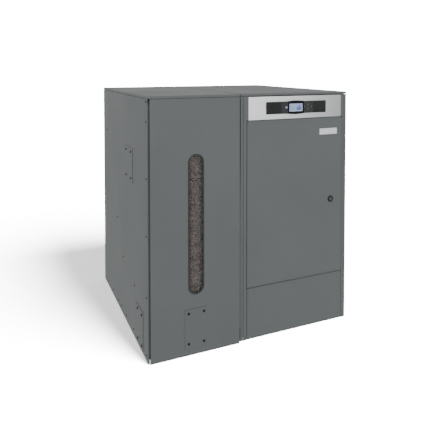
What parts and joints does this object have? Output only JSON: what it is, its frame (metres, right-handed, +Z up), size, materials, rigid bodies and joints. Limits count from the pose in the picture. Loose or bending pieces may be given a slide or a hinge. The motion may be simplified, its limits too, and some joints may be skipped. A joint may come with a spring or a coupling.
{
  "type": "pellet boiler",
  "caption": "Floor-standing pellet boiler with an integral fuel hopper, sight window, inclined feed auger, hinged door, ash drawer and control panel.",
  "frame": {"origin": "centre of the whole outline's footprint, on the floor", "axes": "+X to the right seen from the front, +Y to the rear where the flue leaves, +Z up"},
  "size_m": [1.077, 1.095, 1.2],
  "materials": {
    "casing_paint": "fine textured graphite powder coat",
    "dark_paint": "satin dark enamel",
    "zinc_sheet": "galvanised sheet",
    "bright_steel": "machined steel",
    "body_steel": "welded plate, primed",
    "black_plastic": "satin black moulding",
    "gloss_black": "glossy control lens",
    "bezel_silver": "brushed aluminium",
    "window_glass": "clear tempered pane",
    "rubber_trim": "extruded rubber profile",
    "gasket_foam": "closed-cell foam",
    "screen": "lit liquid crystal display",
    "circuit_board": "solder-masked laminate",
    "key_plastic": "moulded key cap",
    "key_dark": "moulded key cap",
    "pellets": "pressed wood pellets",
    "plate_blank": "satin plate, left blank",
    "mineral_wool": "foil-backed mineral wool",
    "motor_paint": "black motor enamel",
    "hose_rubber": "ribbed feed hose",
    "stainless": "stainless flue pipe and burner sheet",
    "screw_black": "black oxide screws"
  },
  "bodies": {
    "casing": {"hopper_base": "dark_paint", "levelling_feet": "black_plastic", "hopper_posts": "zinc_sheet", "hopper_left_panel": "casing_paint", "hopper_front_panel": "casing_paint", "hopper_right_panel": "casing_paint", "hopper_back_panel": "casing_paint", "hopper_bin": "zinc_sheet", "window_pane": "window_glass", "window_trim": "rubber_trim", "pellet_fill": "pellets", "service_plates": "casing_paint", "casing_screws": "screw_black", "lid_hinges": "bright_steel", "auger_tube": "zinc_sheet", "auger_gearmotor": "motor_paint", "feed_hose": "hose_rubber", "boiler_base": "dark_paint", "cable_gland": "black_plastic", "boiler_left_panel": "casing_paint", "boiler_right_panel": "casing_paint", "boiler_back_panel": "casing_paint", "front_posts": "casing_paint", "rear_posts": "zinc_sheet", "front_rails": "zinc_sheet", "door_hinge_pins": "bright_steel", "control_bezel": "bezel_silver", "control_fascia": "gloss_black", "display_screen": "screen", "control_board": "circuit_board", "electronics_box": "zinc_sheet", "body_stand": "dark_paint", "boiler_shell": "body_steel", "water_sockets": "body_steel", "firebox": "body_steel", "smoke_tubes": "body_steel", "smokebox_lid": "dark_paint", "cleaning_gearmotor": "motor_paint", "burner_body": "stainless", "flue_fan_housing": "stainless", "insulation_jacket": "mineral_wool"},
    "hopper_lid": {"hopper_lid": "casing_paint", "lid_gasket": "gasket_foam"},
    "door": {"door_panel": "casing_paint", "door_badge": "plate_blank", "lock_ring": "black_plastic"},
    "door_lock": {"lock_core": "bright_steel"},
    "ash_drawer": {"drawer_front": "casing_paint", "ash_tray": "zinc_sheet"},
    "boiler_cover": {"boiler_cover": "casing_paint"},
    "power_key": {"key_power": "key_plastic"},
    "back_key": {"key_back": "key_dark"},
    "up_key": {"key_up": "key_dark"},
    "down_key": {"key_down": "key_dark"},
    "next_key": {"key_next": "key_dark"},
    "auger": {"auger_screw": "bright_steel"},
    "burner_blower": {"burner_impeller": "bright_steel"},
    "flue_fan": {"flue_fan_impeller": "bright_steel"},
    "cleaning_shaft": {"cleaning_shaft": "bright_steel"},
    "tube_cleaners": {"turbulators": "bright_steel"}
  },
  "joints": [
    {"name": "lid_hinge", "type": "hinge", "parent": "casing", "child": "hopper_lid", "pos_m": [-0.3095, 0.4835, 1.1885], "axis": [-1, 0, 0], "range_deg": [0, 95]},
    {"name": "door_hinge", "type": "hinge", "parent": "casing", "child": "door", "pos_m": [-0.0325, -0.5225, 0.663], "axis": [0, 0, -1], "range_deg": [0, 110]},
    {"name": "lock_turn", "type": "hinge", "parent": "door", "child": "door_lock", "pos_m": [0.4425, -0.5225, 0.643], "axis": [0, -1, 0], "range_deg": [0, 90]},
    {"name": "drawer_slide", "type": "slide", "parent": "casing", "child": "ash_drawer", "axis": [0, -1, 0], "range_m": [0, 0.45]},
    {"name": "cover_lift", "type": "slide", "parent": "casing", "child": "boiler_cover", "axis": [0, 0, 1], "range_m": [0, 0.12]},
    {"name": "power_press", "type": "slide", "parent": "casing", "child": "power_key", "axis": [0, 1, 0], "range_m": [0, 0.0008], "stiffness_N_per_m": 800, "springref_m": -0.0004},
    {"name": "back_press", "type": "slide", "parent": "casing", "child": "back_key", "axis": [0, 1, 0], "range_m": [0, 0.0008], "stiffness_N_per_m": 800, "springref_m": -0.0004},
    {"name": "up_press", "type": "slide", "parent": "casing", "child": "up_key", "axis": [0, 1, 0], "range_m": [0, 0.0008], "stiffness_N_per_m": 800, "springref_m": -0.0004},
    {"name": "down_press", "type": "slide", "parent": "casing", "child": "down_key", "axis": [0, 1, 0], "range_m": [0, 0.0008], "stiffness_N_per_m": 800, "springref_m": -0.0004},
    {"name": "next_press", "type": "slide", "parent": "casing", "child": "next_key", "axis": [0, 1, 0], "range_m": [0, 0.0008], "stiffness_N_per_m": 800, "springref_m": -0.0004},
    {"name": "auger_turn", "type": "hinge", "parent": "casing", "child": "auger", "pos_m": [-0.3115, -0.3895, 0.106], "axis": [0.7071, 0, 0.7071], "continuous": true},
    {"name": "blower_turn", "type": "hinge", "parent": "casing", "child": "burner_blower", "pos_m": [0.0565, -0.3175, 0.355], "axis": [1, 0, 0], "continuous": true},
    {"name": "flue_fan_turn", "type": "hinge", "parent": "casing", "child": "flue_fan", "pos_m": [0.2315, 0.4175, 1.0035], "axis": [0, 1, 0], "continuous": true},
    {"name": "cleaning_turn", "type": "hinge", "parent": "casing", "child": "cleaning_shaft", "pos_m": [0.1815, 0.0575, 1.02], "axis": [0, -1, 0], "range_deg": [0, 40]},
    {"name": "cleaner_lift", "type": "slide", "parent": "casing", "child": "tube_cleaners", "axis": [0, 0, 1], "range_m": [0, 0.0342]}
  ],
  "couplings": [
    {"joint": "cleaning_turn", "follows": "cleaner_lift", "rad_per_m": 20.4}
  ]
}
